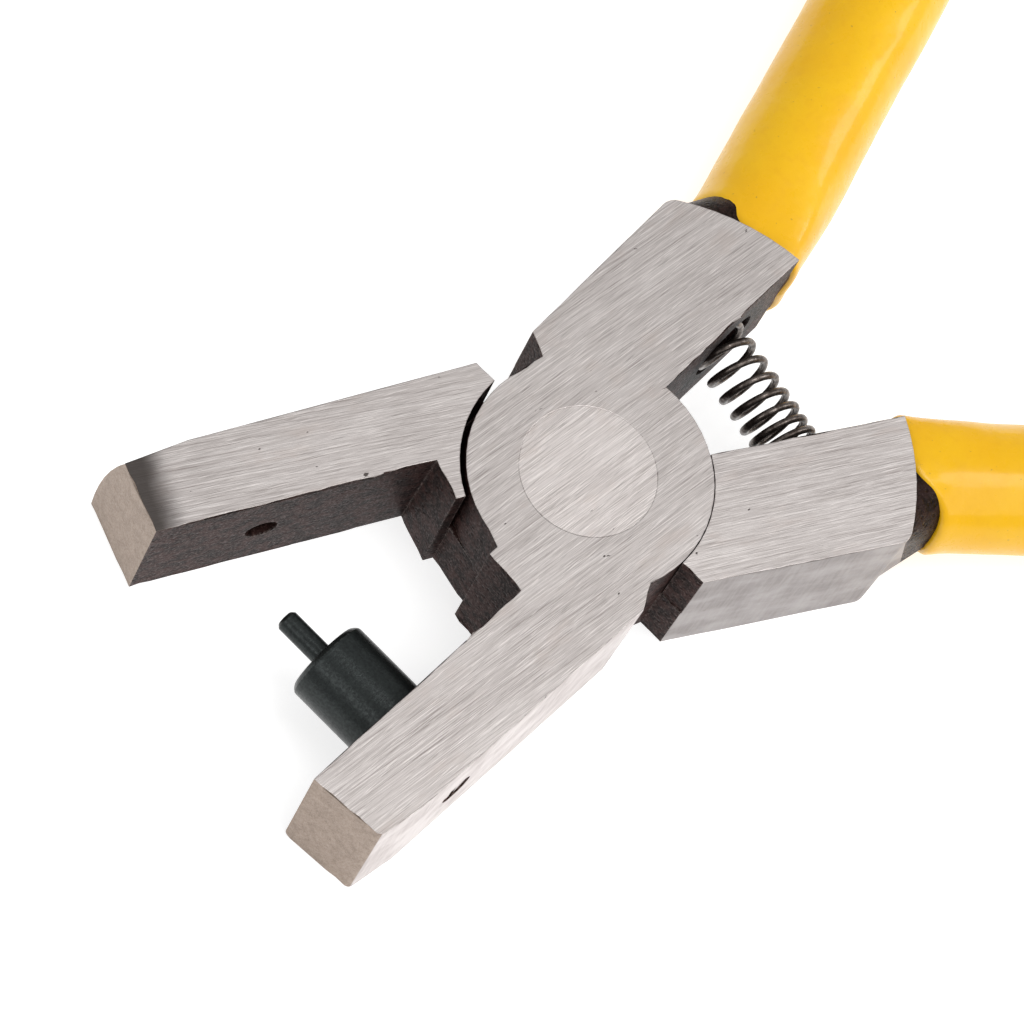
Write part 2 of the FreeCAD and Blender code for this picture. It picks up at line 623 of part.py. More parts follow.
# Punch holder with its shank in the jaw, bored for the pin and the screw.
across = {"x": "Dims.punch_axis_x", "z": "Dims.thick / 2"}
piece("punch_holder", turned_solid("holder", across, [
    ("pin_rad", "holder_end_y"),
    ("holder_face_rad", "holder_end_y"),
    ("holder_rad", "holder_edge_y"),
    ("holder_rad", "punch_face_y"),
    ("shank_rad", "punch_face_y"),
    ("shank_rad", "shank_top_y"),
    ("screw_rad", "shank_top_y"),
    ("screw_rad", "screw_in_y"),
    (0, "screw_in_y"),
    (0, "pin_seat_y"),
    ("pin_rad", "pin_seat_y"),
]), OPEN_PUNCH)
piece("punch_pin", turned_solid("pin", across, [
    (0, "pin_tip_y"),
    ("pin_face_rad", "pin_tip_y"),
    ("pin_rad", "pin_edge_y"),
    ("pin_rad", "pin_seat_y"),
    (0, "pin_seat_y"),
]), OPEN_PUNCH)

# Slotted retaining screw, sunk in the jaw's outer face.
stud = doc.addObject("Part::Cylinder", "screw_stud")
stud.setExpression("Radius", "Dims.screw_rad")
stud.setExpression("Height", "Dims.screw_out_y - Dims.screw_in_y")
stud.setExpression("Placement", (
    "placement(vector(Dims.punch_axis_x; Dims.screw_in_y; Dims.thick / 2); rotation(vector(1; 0; 0); -90))"
))
slot = doc.addObject("Part::Box", "screw_slot")
slot.setExpression("Length", "Dims.slot_wide")
slot.setExpression("Width", "Dims.slot_deep")
slot.setExpression("Height", "Dims.thick")
slot.setExpression("Placement.Base.x", "Dims.punch_axis_x - Dims.slot_wide / 2")
slot.setExpression("Placement.Base.y", "Dims.screw_out_y - Dims.slot_deep")
screw = doc.addObject("Part::Cut", "screw_cut")
screw.Base = stud
screw.Tool = slot
piece("punch_screw", screw, OPEN_PUNCH)

# Compression spring between the two drilled seats.
coil = doc.addObject("Part::Helix", "spring_coil")
coil.setExpression("Pitch", "Dims.coil_pitch")
coil.setExpression("Height", "Dims.spring_span")
coil.setExpression("Radius", "Dims.spring_mean_rad")
wire = doc.addObject("Part::Circle", "spring_wire")
wire.setExpression("Radius", "Dims.wire_rad")
wire.setExpression("Placement.Base.x", "Dims.spring_mean_rad")
wire.Placement.Rotation = FreeCAD.Rotation(V(1, 0, 0), 90)
doc.recompute()
spring = doc.addObject("Part::Sweep", "spring_sweep")
spring.Sections = [wire]
spring.Spine = (coil, ["Edge%d" % (i + 1) for i in range(len(coil.Shape.Edges))])
spring.Solid = True
spring.Frenet = True
piece("return_spring", spring, (
    "placement(vector(Dims.spring_x; -Dims.spring_span / 2; Dims.thick / 2); rotation(vector(1; 0; 0); -90))"
))

# ---------------------------------------------------------------------- write
doc.recompute()
for obj in doc.Objects:
    if "Invalid" in obj.State or "Error" in obj.State:
        raise RuntimeError("%s failed: %s" % (obj.Label, obj.State))
for obj in pieces:
    if obj.Shape.isNull() or not obj.Shape.isValid() or not obj.Shape.Solids:
        raise RuntimeError(obj.Label + " is not a valid solid")
for obj in pieces:
    obj.Shape.exportStep("parts/%s.step" % obj.Label)
    box = obj.Shape.BoundBox
    print("%-14s volume %9.2f  x %.2f..%.2f  y %.2f..%.2f  z %.2f..%.2f" % (
        obj.Label, obj.Shape.Volume, box.XMin, box.XMax, box.YMin, box.YMax, box.ZMin, box.ZMax))
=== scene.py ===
import math

import bmesh
import bpy
from mathutils import Matrix, Vector, noise


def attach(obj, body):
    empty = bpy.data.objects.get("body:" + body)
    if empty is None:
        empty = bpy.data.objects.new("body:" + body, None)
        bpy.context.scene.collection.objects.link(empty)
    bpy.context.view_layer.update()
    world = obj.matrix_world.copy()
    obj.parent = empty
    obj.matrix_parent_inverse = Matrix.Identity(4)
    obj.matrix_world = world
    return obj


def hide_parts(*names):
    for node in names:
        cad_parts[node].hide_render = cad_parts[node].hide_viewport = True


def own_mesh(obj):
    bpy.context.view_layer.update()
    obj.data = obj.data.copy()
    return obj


# The visual model of the snap setter pliers: nine pieces over the CAD frame, open as at rest,
# and then the floor, the lights and the photograph's camera.
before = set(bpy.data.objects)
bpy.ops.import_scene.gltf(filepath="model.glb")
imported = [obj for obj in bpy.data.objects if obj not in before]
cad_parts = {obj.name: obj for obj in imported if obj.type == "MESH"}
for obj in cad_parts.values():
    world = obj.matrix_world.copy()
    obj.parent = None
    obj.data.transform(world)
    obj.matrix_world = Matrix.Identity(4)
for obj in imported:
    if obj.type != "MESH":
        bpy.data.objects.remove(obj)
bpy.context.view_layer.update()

MM = 0.001
THICK = 11.2                      # across the ground faces, mm
MID = THICK / 2
HALF_OPEN = math.radians(12.85)   # each lever's turn from the centre line at rest
COS_OPEN = math.cos(HALF_OPEN)
SIN_OPEN = math.sin(HALF_OPEN)
PUNCH, DIE = "punch", "die"
BODY = {PUNCH: "punch_side", DIE: "die_side"}


# ---------------------------------------------------------------- lever frames
# Each lever is described in its own closed frame, in mm: jaw along +X, jaw on the +Y side.
def placed(lever, x, y, z):
    """A point of a lever's own frame, in the row frame and metres."""
    if lever == DIE:
        return Vector((x * COS_OPEN - y * SIN_OPEN, -x * SIN_OPEN - y * COS_OPEN, THICK - z)) * MM
    return Vector((x * COS_OPEN - y * SIN_OPEN, x * SIN_OPEN + y * COS_OPEN, z)) * MM


def own_place(lever, point):
    """The reverse of placed()."""
    x, y, z = point / MM
    if lever == DIE:
        return Vector((x * COS_OPEN - y * SIN_OPEN, -x * SIN_OPEN - y * COS_OPEN, THICK - z))
    return Vector((x * COS_OPEN + y * SIN_OPEN, -x * SIN_OPEN + y * COS_OPEN, z))


def own_turn(lever, normal):
    """A direction of the row frame in a lever's own frame."""
    return own_place(lever, normal * MM) - own_place(lever, Vector((0, 0, 0)))


# ---------------------------------------------------------------- materials
class Finish:
    """A material under construction, with short calls for the nodes it needs."""

    def __init__(self, name, metallic=0.0, roughness=0.5, **uniform):
        self.material = bpy.data.materials.new(name)
        self.material.use_nodes = True
        self.tree = self.material.node_tree
        self.shader = self.tree.nodes["Principled BSDF"]
        self.shader.inputs["Metallic"].default_value = metallic
        self.shader.inputs["Roughness"].default_value = roughness
        for socket, value in uniform.items():
            self.shader.inputs[socket.replace("_", " ")].default_value = value
        self.coordinates = self.node("ShaderNodeTexCoord").outputs["Object"]
        self.normal = None

    def node(self, kind, **settings):
        made = self.tree.nodes.new(kind)
        for key, value in settings.items():
            setattr(made, key, value)
        return made

    def feed(self, socket, value):
        """Links a socket, or sets a plain number, colour or vector."""
        if isinstance(value, bpy.types.NodeSocket):
            self.tree.links.new(value, socket)
        else:
            socket.default_value = value

    def grid(self, stretch=(1, 1, 1), turn=0.0, shift=(0, 0, 0)):
        """Coordinates in mm, turned about Z and then stretched per axis."""
        turned = self.node("ShaderNodeMapping", vector_type="TEXTURE")
        self.feed(turned.inputs["Vector"], self.coordinates)
        turned.inputs["Rotation"].default_value = (0, 0, turn)
        scaled = self.node("ShaderNodeMapping")
        self.feed(scaled.inputs["Vector"], turned.outputs["Vector"])
        scaled.inputs["Scale"].default_value = [s / MM for s in stretch]
        scaled.inputs["Location"].default_value = shift
        return scaled.outputs["Vector"]

    def noise(self, stretch=(1, 1, 1), turn=0.0, detail=2.0, rough=0.5, distort=0.0, shift=(0, 0, 0)):
        made = self.node("ShaderNodeTexNoise")
        self.feed(made.inputs["Vector"], self.grid(stretch, turn, shift))
        made.inputs["Scale"].default_value = 1.0
        made.inputs["Detail"].default_value = detail
        made.inputs["Roughness"].default_value = rough
        made.inputs["Distortion"].default_value = distort
        return made.outputs["Fac"]

    def cells(self, size):
        made = self.node("ShaderNodeTexVoronoi")
        self.feed(made.inputs["Vector"], self.grid((size, size, size)))
        made.inputs["Scale"].default_value = 1.0
        return made.outputs["Distance"]

    def span(self, value, low, high, to_low=0.0, to_high=1.0):
        """Smooth step of a value between two limits."""
        made = self.node("ShaderNodeMapRange", interpolation_type="SMOOTHSTEP")
        for socket, number in zip(made.inputs, (value, low, high, to_low, to_high)):
            self.feed(socket, number)
        return made.outputs["Result"]

    def calc(self, operation, first, second=0.0, third=0.0):
        made = self.node("ShaderNodeMath", operation=operation)
        for socket, number in zip(made.inputs, (first, second, third)):
            self.feed(socket, number)
        return made.outputs["Value"]

    def blend(self, share, first, second):
        made = self.node("ShaderNodeMix", data_type="RGBA")
        self.feed(made.inputs[0], share)
        for socket, colour in ((made.inputs[6], first), (made.inputs[7], second)):
            self.feed(socket, colour if isinstance(colour, bpy.types.NodeSocket) else (*colour, 1))
        return made.outputs[2]

    def relief(self, height, depth):
        """Adds a height in mm to the surface normal."""
        made = self.node("ShaderNodeBump")
        made.inputs["Strength"].default_value = 1.0
        made.inputs["Distance"].default_value = depth * MM
        self.feed(made.inputs["Height"], height)
        if self.normal:
            self.feed(made.inputs["Normal"], self.normal)
        self.normal = made.outputs["Normal"]

    def near_edge(self, radius):
        """1 along edges that turn within a radius in mm, 0 on open faces."""
        rounded = self.node("ShaderNodeBevel", samples=4)
        rounded.inputs["Radius"].default_value = radius * MM
        plain = self.node("ShaderNodeNewGeometry").outputs["Normal"]
        dot = self.node("ShaderNodeVectorMath", operation="DOT_PRODUCT")
        self.feed(dot.inputs[0], rounded.outputs["Normal"])
        self.feed(dot.inputs[1], plain)
        return self.span(dot.outputs["Value"], 0.999, 0.9)

    def done(self, colour=None, roughness=None):
        if colour is not None:
            self.feed(self.shader.inputs["Base Color"], colour)
        if roughness is not None:
            self.feed(self.shader.inputs["Roughness"], roughness)
        if self.normal:
            self.feed(self.shader.inputs["Normal"], self.normal)
        return self.material


def ground_steel(name, turn, tone=1.0, jaw_dark_band=None, edge=0.13):
    """Surface-ground steel: long streaks one way, scratches, a few dark nicks, worn edges.

    jaw_dark_band is the turn, start and full depth, in mm, of a dark band at the end of a jaw.
    """
    finish = Finish(name, metallic=0.75, roughness=0.42)
    fine = finish.noise((0.2, 14, 14), turn, detail=3, rough=0.75)
    middle = finish.noise((0.12, 6, 6), turn, detail=4, rough=0.75, shift=(3, 1, 0))
    broad = finish.noise((0.1, 0.3, 0.3), turn, detail=2, shift=(9, 4, 2))
    streak = finish.calc("MULTIPLY_ADD", fine, 0.7, finish.calc("MULTIPLY", middle, 0.3))
    light = [tone * c for c in (0.60, 0.562, 0.545)]
    body = [tone * c for c in (0.42, 0.386, 0.372)]
    dark = [tone * c for c in (0.25, 0.220, 0.209)]
    colour = finish.blend(finish.span(streak, 0.36, 0.50), dark, body)
    colour = finish.blend(finish.span(streak, 0.5, 0.64), colour, light)
    colour = finish.blend(finish.span(broad, 0.35, 0.7, 0.0, 0.2), colour, light)
    scratch = finish.noise((0.4, 15, 15), turn + 0.07, detail=2, shift=(5, 8, 1))
    colour = finish.blend(finish.span(scratch, 0.60, 0.70, 0.0, 0.5), colour, (0.16, 0.14, 0.13))
    colour = finish.blend(finish.span(scratch, 0.39, 0.31, 0.0, 0.6), colour, [1.2 * c for c in light])
    warm = finish.noise((0.22, 0.5, 0.5), turn, detail=3, rough=0.6, shift=(7, 2, 9))
    colour = finish.blend(finish.span(warm, 0.54, 0.72, 0.0, 0.35), colour,
                          [tone * c for c in (0.40, 0.34, 0.31)])
    nick = finish.span(finish.noise((0.8, 1.5, 1.5), turn, detail=3, shift=(2, 7, 5)), 0.74, 0.77)
    colour = finish.blend(nick, colour, (0.10, 0.085, 0.078))
    # darker towards the end of the jaw, from a wandering start to the full depth
    if jaw_dark_band:
        band_turn, band_from, band_full = jaw_dark_band
        along = finish.node("ShaderNodeSeparateXYZ")
        finish.feed(along.inputs[0], finish.grid((1, 1, 1), band_turn))
        wander = finish.noise((0.5, 0.5, 0.5), detail=3, shift=(1, 1, 1))
        reach = finish.calc("MULTIPLY_ADD", wander, 0.9, along.outputs["X"])
        colour = finish.blend(finish.span(reach, band_from, band_full, 0.0, 0.95), colour,
                              (0.05, 0.041, 0.037))
    wear = finish.near_edge(edge)
    chip = finish.noise((1.3, 2.2, 2.2), turn, detail=3, shift=(4, 4, 4))
    chip = finish.span(chip, 0.38, 0.62, 0.12, 0.8)
    colour = finish.blend(finish.calc("MULTIPLY", wear, chip), colour, (0.14, 0.115, 0.10))
    finish.relief(fine, 0.008)
    finish.relief(middle, 0.008)
    finish.relief(finish.calc("MULTIPLY", nick, -1.0), 0.03)
    rough = finish.span(streak, 0.3, 0.7, 0.5, 0.36)
    return finish.done(colour, rough)


def side_steel(name, tone):
    """Finely ground outer sides, pinker and more even than the faces."""
    finish = Finish(name, metallic=0.7, roughness=0.4)
    across = finish.noise((3.5, 3.5, 0.3), detail=3, rough=0.6)
    broad = finish.noise((0.3, 0.3, 0.5), detail=3, shift=(6, 2, 0))
    dull = [tone * c for c in (0.35, 0.31, 0.30)]
    bright = [tone * c for c in (0.45, 0.405, 0.395)]
    brushed = [tone * c for c in (0.54, 0.50, 0.485)]
    colour = finish.blend(finish.span(broad, 0.3, 0.7), dull, bright)
    colour = finish.blend(finish.span(across, 0.3, 0.72, 0.0, 0.5), colour, brushed)
    speck = finish.noise((6, 6, 6), detail=3, rough=0.7, shift=(2, 2, 7))
    colour = finish.blend(finish.span(speck, 0.5, 0.7, 0.0, 0.3), colour, dull)
    stain = finish.noise((1.1, 1.1, 1.1), detail=4, rough=0.6, shift=(3, 3, 3))
    colour = finish.blend(finish.span(stain, 0.64, 0.76, 0.0, 0.6), colour, (0.17, 0.14, 0.125))
    wear = finish.near_edge(0.2)
    chip = finish.span(finish.noise((1.6, 1.6, 1.6), detail=3, shift=(8, 1, 4)), 0.52, 0.64, 0.0, 0.8)
    colour = finish.blend(finish.calc("MULTIPLY", wear, chip), colour, (0.12, 0.10, 0.09))
    finish.relief(across, 0.01)
    finish.relief(stain, 0.02)
    return finish.done(colour, finish.span(broad, 0.3, 0.7, 0.5, 0.36))


def sawn_steel():
    """Matt, warm-toned jaw ends with fine dark mottling."""
    finish = Finish("sawn_steel", metallic=0.45, roughness=0.55)
    grain = finish.noise((7, 7, 7), detail=3, rough=0.7)
    mottle = finish.noise((1.3, 1.3, 1.3), detail=4, rough=0.65, shift=(2, 5, 8))
    colour = finish.blend(finish.span(mottle, 0.3, 0.7), (0.265, 0.20, 0.156), (0.36, 0.28, 0.225))
    colour = finish.blend(finish.span(grain, 0.42, 0.7, 0.0, 0.5), colour, (0.41, 0.33, 0.275))
    colour = finish.blend(finish.span(grain, 0.46, 0.28, 0.0, 0.5), colour, (0.17, 0.125, 0.10))
    finish.relief(grain, 0.02)
    finish.relief(mottle, 0.05)
    return finish.done(colour, finish.span(grain, 0.3, 0.7, 0.62, 0.48))


def forge_scale(name, tone, rough, pit_depth, shade_points=()):
    """Dark forging skin: brown-black oxide, pitted, paler on high spots, with painted shade, near black,
    round some points.
    """
    finish = Finish(name, metallic=0.12, roughness=rough, Specular_IOR_Level=0.08)
    lump = finish.noise((0.9, 0.9, 0.9), detail=5, rough=0.62)
    grain = finish.noise((5, 5, 5), detail=4, rough=0.7, shift=(4, 2, 6))
    pit = finish.span(finish.cells(1.7), 0.08, 0.34)
    dark = [tone * c for c in (0.013, 0.006, 0.005)]
    mid = [tone * c for c in (0.046, 0.021, 0.018)]
    pale = [tone * c for c in (0.12, 0.072, 0.064)]
    colour = finish.blend(finish.span(lump, 0.40, 0.60), dark, mid)
    colour = finish.blend(finish.span(grain, 0.5, 0.72, 0.0, 0.75), colour, pale)
    colour = finish.blend(finish.calc("MULTIPLY_ADD", pit, -0.7, 0.7), colour, dark)
    wear = finish.near_edge(0.25)
    colour = finish.blend(finish.calc("MULTIPLY", wear, finish.span(grain, 0.42, 0.6, 0.0, 0.7)), colour,
                          (0.26, 0.22, 0.20))
    # painted shade: near black, with a ragged edge, round each given point (the spring seats, where the
    # spring sits in its pocket)
    for point in shade_points:
        away = finish.node("ShaderNodeVectorMath", operation="DISTANCE")
        finish.feed(away.inputs[0], finish.coordinates)
        away.inputs[1].default_value = point
        ragged = finish.calc("MULTIPLY", lump, 2.0)
        reach = finish.calc("MULTIPLY_ADD", away.outputs["Value"], 1 / MM, ragged)
        colour = finish.blend(finish.span(reach, 6.4, 4.6, 0.0, 0.9), colour, (0.008, 0.006, 0.006))
    finish.relief(lump, pit_depth * 2.4)
    finish.relief(pit, pit_depth)
    finish.relief(grain, pit_depth * 0.6)
    return finish.done(colour, finish.span(grain, 0.3, 0.7, rough + 0.12, rough - 0.12))


def black_oxide():
    """Satin black turned steel with faint tool rings across its axis."""
    finish = Finish("black_oxide", metallic=0.6, roughness=0.3)
    ring = finish.noise((0.3, 14, 0.3), HALF_OPEN, detail=2)
    mottle = finish.noise((4.5, 4.5, 4.5), detail=3, rough=0.6)
    colour = finish.blend(finish.span(mottle, 0.3, 0.7), (0.013, 0.016, 0.016), (0.027, 0.033, 0.032))
    wear = finish.near_edge(0.16)
    rubbed = finish.span(mottle, 0.42, 0.62, 0.0, 0.75)
    colour = finish.blend(finish.calc("MULTIPLY", wear, rubbed), colour, (0.20, 0.20, 0.19))
    finish.relief(ring, 0.006)
    finish.relief(mottle, 0.012)
    return finish.done(colour, finish.span(mottle, 0.3, 0.7, 0.38, 0.28))


def spring_wire():
    """Dark drawn wire in brown and paler patches, with fine black specks."""
    finish = Finish("spring_wire", metallic=0.85, roughness=0.3)
    drawn = finish.noise((2.2, 2.2, 2.2), detail=3, rough=0.6)
    speck = finish.noise((8, 8, 8), detail=2, shift=(3, 3, 3))
    colour = finish.blend(finish.span(drawn, 0.35, 0.65), (0.055, 0.042, 0.036), (0.17, 0.145, 0.13))
    colour = finish.blend(finish.span(speck, 0.6, 0.75, 0.0, 0.6), colour, (0.02, 0.016, 0.014))
    finish.relief(speck, 0.006)
    return finish.done(colour, finish.span(drawn, 0.3, 0.7, 0.38, 0.24))


def dipped_plastic():
    """Glossy dip-coated yellow vinyl: slow waves, fine mottling and small grimy specks."""
    finish = Finish("dipped_plastic", roughness=0.36, Specular_IOR_Level=0.2, Coat_Weight=0.3,
                    Coat_Roughness=0.09)
    flow = finish.noise((0.16, 0.16, 0.16), detail=3)
    skin = finish.noise((1.1, 1.1, 1.1), detail=4, rough=0.55, shift=(5, 5, 5))
    colour = finish.blend(finish.span(flow, 0.3, 0.7), (0.84, 0.45, 0.003), (0.87, 0.50, 0.006))
    colour = finish.blend(finish.span(skin, 0.5, 0.75, 0.0, 0.35), colour, (0.78, 0.40, 0.002))
    grime_and_painted_shade = finish.span(finish.noise((2.6, 2.6, 2.6), detail=3, shift=(1, 8, 2)), 0.70, 0.76, 0.0, 0.55)
    colour = finish.blend(grime_and_painted_shade, colour, (0.36, 0.20, 0.03))
    finish.relief(flow, 0.35)
    finish.relief(skin, 0.035)
    return finish.done(colour, finish.span(skin, 0.3, 0.7, 0.26, 0.38))


def dip_rim_painted_shade():
    """Painted shade: dark mottled browns on the thin inner edge of the dip, where it meets the steel,
    standing in for the shade in the crevice there.
    """
    finish = Finish("dip_rim_painted_shade", roughness=0.55)
    grime_and_painted_shade = finish.noise((1.8, 1.8, 1.8), detail=3, shift=(4, 1, 6))
    # painted shade: dark browns for the crevice where the dip meets the steel
    colour = finish.blend(finish.span(grime_and_painted_shade, 0.35, 0.65), (0.05, 0.022, 0.008), (0.26, 0.12, 0.008))
    finish.relief(grime_and_painted_shade, 0.05)
    return finish.done(colour, finish.span(grime_and_painted_shade, 0.3, 0.7, 0.65, 0.45))


def pale_floor():
    """Plain white sweep that glows, so that the ground stays white under the tool."""
    finish = Finish("pale_floor", roughness=0.6, Emission_Color=(1, 1, 1, 1), Emission_Strength=0.72)
    cloud = finish.noise((0.01, 0.01, 0.01), detail=2)
    return finish.done(finish.blend(cloud, (0.62, 0.62, 0.62), (0.66, 0.66, 0.655)))


# ---------------------------------------------------------------- meshes
def as_object(shape, name):
    """Makes a smooth-shaded object of a bmesh, and frees the bmesh."""
    for face in shape.faces:
        face.smooth = True
    mesh = bpy.data.meshes.new(name)
    shape.to_mesh(mesh)
    shape.free()
    piece = bpy.data.objects.new(name, mesh)
    bpy.context.collection.objects.link(piece)
    return piece


def bridge(shape, rings):
    """Joins each ring of vertices to the next with a band of quads."""
    for near, far in zip(rings, rings[1:]):
        count = len(near)
        for i in range(count):
            j = (i + 1) % count
            shape.faces.new((near[i], near[j], far[j], far[i]))


# ---------------------------------------------------------------- levers
EDGE = 0.07          # worn radius along the levers' edges, mm
END_FACE_X = -19.5   # the shoulder's ground end lies beyond this, own frame
TIP_X = 30.0         # jaw ends lie beyond this
SIDE_END_X = -20.9   # end of the ground outer side at the front edge
SIDE_END_SLOPE = -0.29   # and how it moves with depth below the front
SEAT_X = -17.96      # spring seat in the shoulder's inner face
SEAT_FACE_Y = -1.0
INNER_DROP = 1.2     # how far below the seat an inner face is still part of the shoulder, mm
SIDE_FROM_X, SIDE_BELOW_Y = -4.0, -9.3     # the shoulder's outer side lies beyond these
JAW_FROM_X = 4.5     # the jaw's outer side lies beyond this
FACE_BAND = 0.15     # how near the front or back a flat face counts as ground, mm
FLAT, STEEP = 0.9, 0.75    # share of the normal along an axis that makes a face flat, or steep
GROUND, SIDE, JAW_END, SCALE, TANG = range(5)    # places of a lever's finishes
WAVE = 0.8           # spacing of the worn waves along long straight edges, mm
WAVE_DEPTH = 0.1     # how far the waves swing, mm
WORN_BACK = 0.03     # how far those edges are worn back on average, mm
SLOW, QUICK = 0.8, 2.1   # rates of the two waves, per mm
STRIP = 0.5          # depth of the strip beside those edges that takes the waves
CALM = 0.3           # share of the waves beside the ground sides
SAME_CAD_POINT, SAME_POINT, ON_PLANE = 0.0015, 0.002, 0.001    # mm
COPLANAR = math.radians(1.0)
SHARP = math.radians(28.0)      # edges that turn more than this are rounded
BEVEL_STEPS, BEVEL_PROFILE = 2, 0.6
WIDE = 20.0          # area of a face worth unfolding, mm2
FOLD = math.radians(150)
SIDE_HOLES = ((21.2, 3.2), (SEAT_X, 3.1))   # along the lever, and reach: jaw holes, spring seat
SMOOTH_COS = math.cos(math.radians(24))   # faces that turn less than this shade as one
GAP_RING = (9.0, 9.3)    # radii of the fine running gap round the hub, left sharp


def depth_below_front(lever, z):
    """Depth below the face that looks out of the front of the tool."""
    return z if lever == DIE else THICK - z


def wear_edges(shape, spacing, lever):
    """Waves the long straight edges of the two flat faces a little, least beside the ground sides."""
    for level in (STRIP, THICK - STRIP):
        bmesh.ops.bisect_plane(shape, geom=shape.verts[:] + shape.edges[:] + shape.faces[:],
                               dist=ON_PLANE * MM, plane_co=(0, 0, level * MM), plane_no=(0, 0, 1))

    def long_edge(edge):
        a, b = (v.co / MM for v in edge.verts)
        at_face = max(a.z, b.z) < 0.01 or min(a.z, b.z) > THICK - 0.01
        return at_face and (a - b).length > 2 * spacing and edge.calc_face_angle(0) > 0.5

    for edge in [e for e in shape.edges if len(e.link_faces) == 2 and long_edge(e)]:
        upright = [f.normal for f in edge.link_faces if abs(f.normal.z) < FLAT]
        if not upright:
            continue
        away = Vector((upright[0].x, upright[0].y, 0)).normalized()
        cuts = int(edge.calc_length() / MM / spacing)
        made = bmesh.ops.subdivide_edges(shape, edges=[edge], cuts=cuts)["geom_inner"]
        for vert in [part for part in made if isinstance(part, bmesh.types.BMVert)]:
            place = vert.co / MM
            wave = noise.noise(place * SLOW) * 0.5 + noise.noise(place * QUICK)
            beside = lever_region(lever, own_place(lever, Vector(vert.co)), own_turn(lever, away))
            share = CALM if beside == SIDE else 1.0
            vert.co += away * (wave * WAVE_DEPTH - WORN_BACK) * share * MM


def unfold(shape):
    """Welds the corners where the bevel has folded a wide flat face back on itself."""
    welds = {}
    for face in [f for f in shape.faces if abs(f.normal.z) > FLAT and f.calc_area() > WIDE * MM * MM]:
        for loop in face.loops:
            before, here, after = loop.link_loop_prev.vert, loop.vert, loop.link_loop_next.vert
            if (here.co - before.co).angle(after.co - here.co, 0) > FOLD:
                welds[here] = min((before, after), key=lambda v: (v.co - here.co).length)
    bmesh.ops.weld_verts(shape, targetmap={v: t for v, t in welds.items() if t not in welds})


def in_side_hole(point):
    """Whether a point of a lever's own frame is on a hole drilled along its Y axis."""
    return any(math.hypot(point.x - x, point.z - MID) < reach for x, reach in SIDE_HOLES)


def even_normals(mesh):
    """Smooth shading over slight turns only, led by the widest faces."""
    around = [[] for _ in mesh.vertices]
    for face in mesh.polygons:
        for vert in face.vertices:
            around[vert].append(face)
    normals = []
    for face in mesh.polygons:
        for vert in face.vertices:
            total = Vector()
            for other in around[vert]:
                if other.normal.dot(face.normal) > SMOOTH_COS:
                    total += other.normal * (other.area / MM / MM)
            normals.append(total.normalized() if total.length else face.normal)
    mesh.normals_split_custom_set(normals)


def edged_copy(node, name, width, lever=None):
    """The CAD node's shape with its sharp edges rounded, as a new object."""
    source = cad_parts[node]
    shape = bmesh.new()
    shape.from_mesh(source.data)
    bmesh.ops.remove_doubles(shape, verts=shape.verts, dist=SAME_CAD_POINT * MM)
    bmesh.ops.dissolve_limit(shape, angle_limit=COPLANAR, verts=shape.verts, edges=shape.edges)
    if lever:
        wear_edges(shape, WAVE, lever)
        # cuts the shoulder's outer side where its ground part ends
        front = 0 if lever == DIE else THICK
        line = [placed(lever, SIDE_END_X + SIDE_END_SLOPE * depth_below_front(lever, z), y, z)
                for y, z in ((0, front), (5, front), (0, MID))]
        across = (line[1] - line[0]).cross(line[2] - line[0]).normalized()
        outer = [f for f in shape.faces if own_turn(lever, f.normal).y < -STEEP]
        edges = {e for f in outer for e in f.edges}
        corners = {v for f in outer for v in f.verts}
        bmesh.ops.bisect_plane(shape, geom=outer + list(edges) + list(corners), dist=ON_PLANE * MM,
                               plane_co=line[0], plane_no=across)

    def left_sharp(edge):
        if not lever:
            return False
        in_gap = all(GAP_RING[0] < v.co.xy.length / MM < GAP_RING[1] for v in edge.verts)
        on_lap = all(abs(v.co.z / MM - MID) < 0.1 for v in edge.verts)
        return in_gap or on_lap or all(in_side_hole(own_place(lever, Vector(v.co))) for v in edge.verts)

    sharp = [e for e in shape.edges if len(e.link_faces) == 2
             and e.calc_face_angle(0) > SHARP and not left_sharp(e)]
    bmesh.ops.bevel(shape, geom=sharp, offset=width * MM, offset_type="OFFSET", segments=BEVEL_STEPS,
                    profile=BEVEL_PROFILE, affect="EDGES", clamp_overlap=False)
    bmesh.ops.remove_doubles(shape, verts=shape.verts, dist=SAME_POINT * MM)
    unfold(shape)
    copy = as_object(shape, name)
    even_normals(copy.data)
    return copy


def lever_region(lever, centre, normal):
    """Which finish a lever's face has, from its place and direction in the lever's own frame."""
    at_face = centre.z < FACE_BAND or centre.z > THICK - FACE_BAND
    if abs(normal.z) > FLAT and at_face:
        return GROUND
    if centre.x > TIP_X and normal.x > 0.5:
        return JAW_END
    if centre.x > JAW_FROM_X and normal.y > 0.5:
        return SIDE
    side_end = SIDE_END_X + SIDE_END_SLOPE * depth_below_front(lever, centre.z)
    if normal.y < -STEEP and side_end < centre.x < SIDE_FROM_X and centre.y < SIDE_BELOW_Y:
        return SIDE
    on_seat_face = normal.y > FLAT and centre.y > SEAT_FACE_Y - INNER_DROP
    beyond = centre.x < END_FACE_X and not on_seat_face
    return TANG if beyond else SCALE


def make_lever(lever, finishes):
    node = lever + "_lever"
    piece = edged_copy(node, node + "_forging", EDGE, lever=lever)
    for finish in finishes:
        piece.data.materials.append(finish)
    for face in piece.data.polygons:
        centre = own_place(lever, Vector(face.center))
        normal = own_turn(lever, Vector(face.normal))
        face.material_index = lever_region(lever, centre, normal)
    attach(piece, BODY[lever])
    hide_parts(node)


